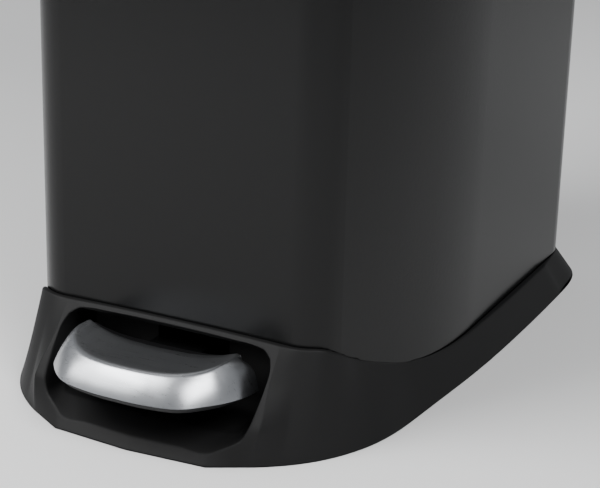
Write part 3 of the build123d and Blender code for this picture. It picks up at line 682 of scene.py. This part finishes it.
top_room = np.linalg.norm(top_way, axis=1)[:, None]
top_way /= np.maximum(top_room, 0.001)
face_way = unit(hem_line - fold_line)
soft = np.minimum(3.2, 0.45 * top_room)
bulge = np.cross(np.gradient(fold_line, axis=0), face_way)
bulge = unit(bulge) * np.sign((unit(bulge)[:, 1] * -1)[:, None] + 0.0001)
bulge[bulge[:, 2] < 0] *= -1
strip = [rear_line + (0, 0.5, -4.0), rear_line + (0, 0.5, -1.0)]
strip += turn(rear_line + (0, 0.4, -0.6), rear_line + (0, 0.3, 0), rear_line - top_way * 0.8, 4)
strip += [rear_line + (fold_line + top_way * soft - rear_line) * t for t in (0.2, 0.45, 0.7, 0.9)]
ends = np.clip((np.abs(np.linspace(-1, 1, len(fold_line))) - 0.7) / 0.3, 0, 1)[:, None] ** 1.3


def face_at(t):
    """Points a share t of the way down the face: bowed all along, fuller at the shoulders."""
    bow = 4.8 * t * (1 - t) + 15.0 * ends * t * (1 - t) ** 2
    return fold_line + (hem_line - fold_line) * t + bulge * bow


FOLD_END = 0.13                          # share of the face that the soft fold takes up
strip += turn(fold_line + top_way * soft, fold_line - top_way * 0.5, face_at(FOLD_END), 8)
strip += [face_at(t) for t in np.linspace(FOLD_END, 1, 14)[1:]]
tuck = np.column_stack([-hem_line[:, 0] * 0.012, np.full(len(hem_line), 1.3),
                        np.full(len(hem_line), -0.9)])
strip += [hem_line + tuck * t for t in (0.5, 1.0)]
pedal_skin = skin("pedal_cover_stamped", [(strip, False)], stainless, "pedal",
                  ["pedal_cover"], 40.0)
sheet = pedal_skin.modifiers.new("sheet", "SOLIDIFY")
sheet.thickness = 1.0 * mm
sheet.offset = -1.0

# %% [markdown]
# The block under the skin is seen only as a dark chin below the hem, and from behind. It is a
# closed loft of level rings, each a little further in.


# %% Pedal block
PEDAL_HALF = 61
BLOCK_REAR = 42.4


def closed_ring(front, rear_height=None):
    """A ring from its front half, closed by a straight rear edge."""
    rear = np.linspace(front[-1], front[0], 30)[1:-1]
    rear[:, 1] = BLOCK_REAR
    if rear_height is not None:
        rear[:, 2] = rear_height(np.abs(rear[:, 0]))
    front[[0, -1], 1] = BLOCK_REAR
    return np.concatenate([front, rear])


def chin_ring(inset, z):
    """A level ring of the block, a little inside the hem."""
    front = hem_line.copy()
    front[:, 0] *= 1 - inset / PEDAL_HALF
    front[:, 1] += inset
    front[:, 2] = z
    return closed_ring(front)


under_fold = fold_line + (0, 2.0, -2.4)
under_fold[:, 0] *= 0.965
top_ring = closed_ring(under_fold, lambda x: np.interp(x, rear_knots[:, 0],
                                                       rear_knots[:, 2]) - 1.6)
block_rows = [top_ring, chin_ring(1.6, 38.0), chin_ring(1.9, 35.2),
              chin_ring(3.0, 33.0), chin_ring(5.0, 31.4), chin_ring(8.0, 30.8)]
centre = block_rows[-1].mean(0)
block_rows.append(centre + (block_rows[-1] - centre) * (0.3, 0.3, 1))
block = skin("pedal_block_moulded", [(block_rows, True)], pedal_black, "pedal",
             ["pedal_core"], 40.0)
closing = bmesh.new()
closing.from_mesh(block.data)
bmesh.ops.holes_fill(closing, edges=closing.edges)
bmesh.ops.triangulate(closing, faces=[f for f in closing.faces if len(f.verts) > 4])
bmesh.ops.recalc_face_normals(closing, faces=closing.faces)
closing.to_mesh(block.data)
closing.free()

# %% [markdown]
# ## What repeats
#
# Screws, feet and bumpers are the same small part in several places. Geometry Nodes does that
# well: a mesh with one vertex per place goes in, and an instance lands on every vertex. The
# export keeps only real faces, so the tree realizes its instances and sets the material last,
# and the result is then taken as a plain mesh for the body that it belongs to.

# %% Scatter a part over places
def scatter(name, part, places, material, body, replaces, turn_step=0.0):
    """Copies of a small mesh on each place, by Geometry Nodes, as one plain mesh."""
    tree = bpy.data.node_groups.new(name + "_tree", "GeometryNodeTree")
    face = tree.interface
    face.new_socket("Geometry", in_out="INPUT", socket_type="NodeSocketGeometry")
    size = face.new_socket("Part size", in_out="INPUT", socket_type="NodeSocketFloat")
    step = face.new_socket("Turn per part", in_out="INPUT", socket_type="NodeSocketFloat")
    face.new_socket("Geometry", in_out="OUTPUT", socket_type="NodeSocketGeometry")
    add = tree.nodes.new
    source, sink = add("NodeGroupInput"), add("NodeGroupOutput")
    points, copies = add("GeometryNodeMeshToPoints"), add("GeometryNodeInstanceOnPoints")
    shape, count = add("GeometryNodeObjectInfo"), add("GeometryNodeInputIndex")
    angle, spin = add("ShaderNodeMath"), add("ShaderNodeCombineXYZ")
    angle.operation = "MULTIPLY"
    real, paint = add("GeometryNodeRealizeInstances"), add("GeometryNodeSetMaterial")
    shape.inputs["Object"].default_value = part
    paint.inputs["Material"].default_value = material
    for start, end in (
            (source.outputs["Geometry"], points.inputs["Mesh"]),
            (points.outputs["Points"], copies.inputs["Points"]),
            (shape.outputs["Geometry"], copies.inputs["Instance"]),
            (source.outputs["Part size"], copies.inputs["Scale"]),
            (count.outputs["Index"], angle.inputs[0]),
            (source.outputs["Turn per part"], angle.inputs[1]),
            (angle.outputs[0], spin.inputs["Z"]),
            (spin.outputs[0], copies.inputs["Rotation"]),
            (copies.outputs["Instances"], real.inputs["Geometry"]),
            (real.outputs["Geometry"], paint.inputs["Geometry"]),
            (paint.outputs["Geometry"], sink.inputs["Geometry"])):
        tree.links.new(start, end)
    seeds = bpy.data.meshes.new(name + "_places")
    seeds.from_pydata([tuple(p) for p in places], [], [])
    holder = bpy.data.objects.new(name + "_places", seeds)
    scene.collection.objects.link(holder)
    nodes = holder.modifiers.new("scatter", "NODES")
    nodes.node_group = tree
    nodes[size.identifier] = 1.0
    nodes[step.identifier] = turn_step
    ready = holder.evaluated_get(bpy.context.evaluated_depsgraph_get())
    mesh = bpy.data.meshes.new_from_object(ready)
    holder.modifiers.clear()
    bpy.data.objects.remove(holder)
    bpy.data.objects.remove(part)
    built = bmesh.new()
    built.from_mesh(mesh)
    return settle(name, built, material, body, replaces, 32.0)


def turned(profile, sides=40):
    """A lathe part from (radius, height) in mm, closed at both ends."""
    built = bmesh.new()
    angles = np.linspace(0, 2 * math.pi, sides, endpoint=False)
    rows = []
    for radius, z in profile:
        rows.append([built.verts.new((radius * mm * math.cos(a), radius * mm * math.sin(a),
                                      z * mm)) for a in angles])
    for a, b in zip(rows, rows[1:]):
        for i in range(sides):
            j = (i + 1) % sides
            built.faces.new((a[i], a[j], b[j], b[i]))
    for row in (rows[0], rows[-1]):
        built.faces.new(row)
    bmesh.ops.recalc_face_normals(built, faces=built.faces)
    mesh = bpy.data.meshes.new("part")
    built.to_mesh(mesh)
    built.free()
    part = bpy.data.objects.new("part", mesh)
    scene.collection.objects.link(part)
    return part


# %% [markdown]
# The CAD node already says how many there are and where, so the places are read from its mesh:
# every separate piece of it gives one place, in the middle of its lowest height. The profiles
# start with the end that is seen: the screw's domed head, the foot's hollow sole, the bumper.


# %% Screws, feet and bumpers
def centres(node):
    """The middle of each separate piece of a CAD node, with its lowest height."""
    mesh = bmesh.new()
    mesh.from_mesh(frame["nodes"][node].data)
    bmesh.ops.remove_doubles(mesh, verts=mesh.verts, dist=0.000005)
    found, seen = [], set()
    for vert in mesh.verts:
        if vert in seen:
            continue
        group, queue = [], [vert]
        seen.add(vert)
        while queue:
            at = queue.pop()
            group.append(at.co.copy())
            for edge in at.link_edges:
                other = edge.other_vert(at)
                if other not in seen:
                    seen.add(other)
                    queue.append(other)
        low = Vector(map(min, zip(*group)))
        high = Vector(map(max, zip(*group)))
        found.append(((low.x + high.x) / 2, (low.y + high.y) / 2, low.z))
    mesh.free()
    return found


pan_head = [(0.7, 0.9), (1.3, 0.55), (1.75, 0.1), (2.3, 0.0), (2.9, 0.15), (3.35, 0.55),
            (3.55, 1.1), (3.6, 1.75), (1.6, 1.8), (1.6, 15.2), (1.0, 16.0)]
SCREW_TURN = 0.7                         # radians, so that no two screws stand alike
scatter("base_screws_pan_head", turned(pan_head), centres("base_screws"), screw, "bin",
        ["base_screws"], SCREW_TURN)
foot = [(5.6, 0.9), (5.9, 0.25), (6.5, 0.0), (7.4, 0.0), (7.9, 0.4), (8.0, 1.0), (8.0, 3.8),
        (7.7, 4.0), (3.0, 4.0), (3.0, 6.5)]
scatter("rubber_feet_moulded", turned(foot), centres("rubber_feet"), rubber_black, "bin",
        ["rubber_feet"])
bumper = [(2.75, 0.0), (2.8, 0.3), (2.7, 0.75), (2.2, 1.02), (1.2, 1.1), (0.4, 1.1)]
scatter("lid_bumpers_moulded", turned(bumper), centres("lid_bumpers"), rubber_black, "bin",
        ["lid_bumpers"])

# %% [markdown]
# ## Room
#
# A pale floor, a dim sky and three wide lamps. The left one is low and gives the pedal's face its
# long highlight, the right one is high and lights the pedal's other end, and the overhead one
# sits in front, so that the floor the front panel mirrors is brighter than the floor the side
# mirrors.


# %% Room
def soft_lamp(name, place, target, width, height, power):
    """A rectangular lamp that looks from place to target and is not seen itself."""
    lamp = bpy.data.lights.new(name, "AREA")
    lamp.shape = "RECTANGLE"
    lamp.size, lamp.size_y = width, height
    lamp.energy = power
    holder = bpy.data.objects.new(name, lamp)
    holder.location = place
    holder.rotation_euler = (Vector(target) - Vector(place)).to_track_quat("-Z", "Y").to_euler()
    holder.visible_camera = False
    scene.collection.objects.link(holder)


soft_lamp("lamp_left_front", (-0.88, -0.85, 0.85), (0, -0.2, 0.0), 1.1, 0.75, 11.5)
soft_lamp("lamp_right_front", (1.1, -0.8, 1.5), (0.1, -0.2, 0.0), 0.9, 0.9, 28)
soft_lamp("lamp_overhead", (-0.85, -1.0, 1.7), (-0.25, -0.35, 0), 1.0, 1.0, 27)

sky = bpy.data.worlds.new("room")
sky.use_nodes = True
background = sky.node_tree.nodes["Background"]
background.inputs["Color"].default_value = (0.95, 0.97, 1.0, 1.0)
background.inputs["Strength"].default_value = 0.3
scene.world = sky

HALF_FLOOR = 6
corners = [(x * HALF_FLOOR, y * HALF_FLOOR, 0) for x, y in ((-1, -1), (1, -1), (1, 1), (-1, 1))]
floor_mesh = bpy.data.meshes.new("pale_floor")
floor_mesh.from_pydata(corners, [], [(0, 1, 2, 3)])
floor = bpy.data.objects.new("pale_floor", floor_mesh)
scene.collection.objects.link(floor)
floor_finish = Finish("pale_floor", Specular_IOR_Level=0.2)
floor_mesh.materials.append(floor_finish.wear((0.86, 0.86, 0.86, 1.0), 0.7))
print("room ready with", len(bpy.data.lights), "lamps")
